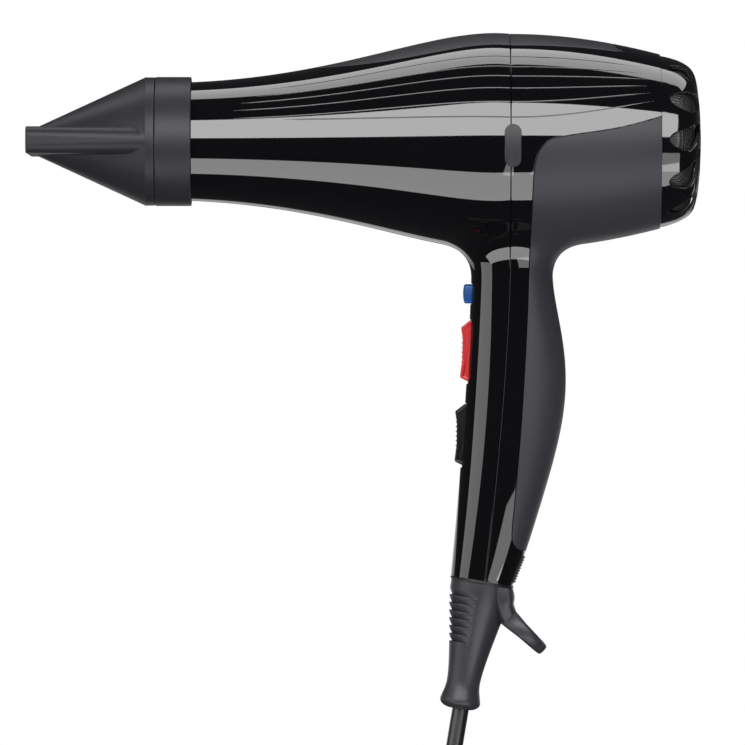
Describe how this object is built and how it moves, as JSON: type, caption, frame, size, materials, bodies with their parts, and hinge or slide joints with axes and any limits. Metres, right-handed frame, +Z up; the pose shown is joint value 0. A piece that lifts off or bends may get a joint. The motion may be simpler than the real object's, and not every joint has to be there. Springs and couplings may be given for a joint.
{
  "type": "hair dryer",
  "caption": "Salon hair dryer with glossy barrel, soft rear grip, flat concentrator nozzle, two rocker switches, cold button, swirled rear grille and mains cord.",
  "frame": {"origin": "centre of the hand grip, inside the handle and below the barrel axis by 108 mm", "axes": "+X towards the rear grille, the nozzle points along -X, +Z up, the handle hangs down, +Y across the body"},
  "size_m": [0.2822, 0.0924, 0.4686],
  "materials": {
    "gloss_black": "gloss",
    "soft_grey": "satin",
    "trim_grey": "satin",
    "grille_black": "gloss",
    "nozzle_grey": "matte",
    "red_switch": "satin",
    "black_switch": "satin",
    "blue_button": "satin",
    "boot_rubber": "satin",
    "cord_rubber": "satin",
    "steel": "satin",
    "mesh_steel": "fine mesh",
    "bronze": "oiled",
    "copper": "drawn wire",
    "mica": "layered",
    "nylon": "matte",
    "dark_nylon": "matte",
    "carbon": "matte",
    "capacitor": "satin",
    "wire": "satin",
    "plug_brass": "nickel plated",
    "alu": "cast"
  },
  "bodies": {
    "housing": {"front_housing": "gloss_black", "rear_housing": "gloss_black", "rear_grip": "soft_grey", "top_strip_front": "trim_grey", "top_strip_rear": "trim_grey", "side_clip_left": "trim_grey", "side_clip_right": "trim_grey", "handle_insert": "trim_grey", "housing_screws": "steel", "outlet_grille": "dark_nylon", "heat_switch_body": "nylon", "speed_switch_body": "nylon", "cold_switch_body": "nylon", "heater_sleeve": "mica", "mica_cross": "mica", "heating_coils": "steel", "thermostat": "alu", "thermal_fuse": "nylon", "motor_carrier": "dark_nylon", "rubber_mount": "cord_rubber", "fan_shroud": "dark_nylon", "stator_stack": "steel", "field_windings": "copper", "motor_front_bracket": "alu", "motor_rear_bracket": "alu", "front_bearing": "bronze", "rear_bearing": "bronze", "carbon_brushes": "carbon", "motor_screws": "steel", "suppression_capacitor": "capacitor", "wire_harness": "wire", "cord_clamp": "nylon", "clamp_screws": "steel", "strain_relief": "boot_rubber", "relief_ring": "trim_grey", "cord": "cord_rubber", "cord_coil": "cord_rubber", "cord_tie": "black_switch", "plug_body": "cord_rubber", "plug_pins": "plug_brass"},
    "rotor": {"motor_shaft": "steel", "armature": "steel", "commutator": "copper", "fan": "dark_nylon"},
    "heat_rocker": {"heat_rocker": "red_switch"},
    "speed_rocker": {"speed_rocker": "black_switch"},
    "cold_button": {"cold_shot_button": "blue_button", "button_spring": "steel"},
    "nozzle_collar": {"nozzle_collar": "nozzle_grey"},
    "nozzle": {"nozzle": "nozzle_grey"},
    "rear_filter": {"rear_grille": "grille_black", "filter_mesh": "mesh_steel"}
  },
  "joints": [
    {"name": "rotor_spin", "type": "hinge", "parent": "housing", "child": "rotor", "pos_m": [0, 0, 0.108], "axis": [1, 0, 0], "continuous": true},
    {"name": "heat_rocker_tilt", "type": "hinge", "parent": "housing", "child": "heat_rocker", "pos_m": [-0.0125, 0, 0.0198], "axis": [0, 1, 0], "range_deg": [-8, 8]},
    {"name": "speed_rocker_tilt", "type": "hinge", "parent": "housing", "child": "speed_rocker", "pos_m": [-0.0148, 0, -0.0154], "axis": [0, 1, 0], "range_deg": [-8, 8]},
    {"name": "cold_button_press", "type": "slide", "parent": "housing", "child": "cold_button", "axis": [1, 0, 0], "range_m": [0, 0.0022], "stiffness_N_per_m": 600, "springref_m": -0.001},
    {"name": "nozzle_pull", "type": "slide", "parent": "housing", "child": "nozzle_collar", "axis": [-1, 0, 0], "range_m": [0, 0.03]},
    {"name": "nozzle_turn", "type": "hinge", "parent": "nozzle_collar", "child": "nozzle", "pos_m": [-0.149, 0, 0.108], "axis": [1, 0, 0], "continuous": true},
    {"name": "filter_pull", "type": "slide", "parent": "housing", "child": "rear_filter", "axis": [1, 0, 0], "range_m": [0, 0.03]}
  ]
}
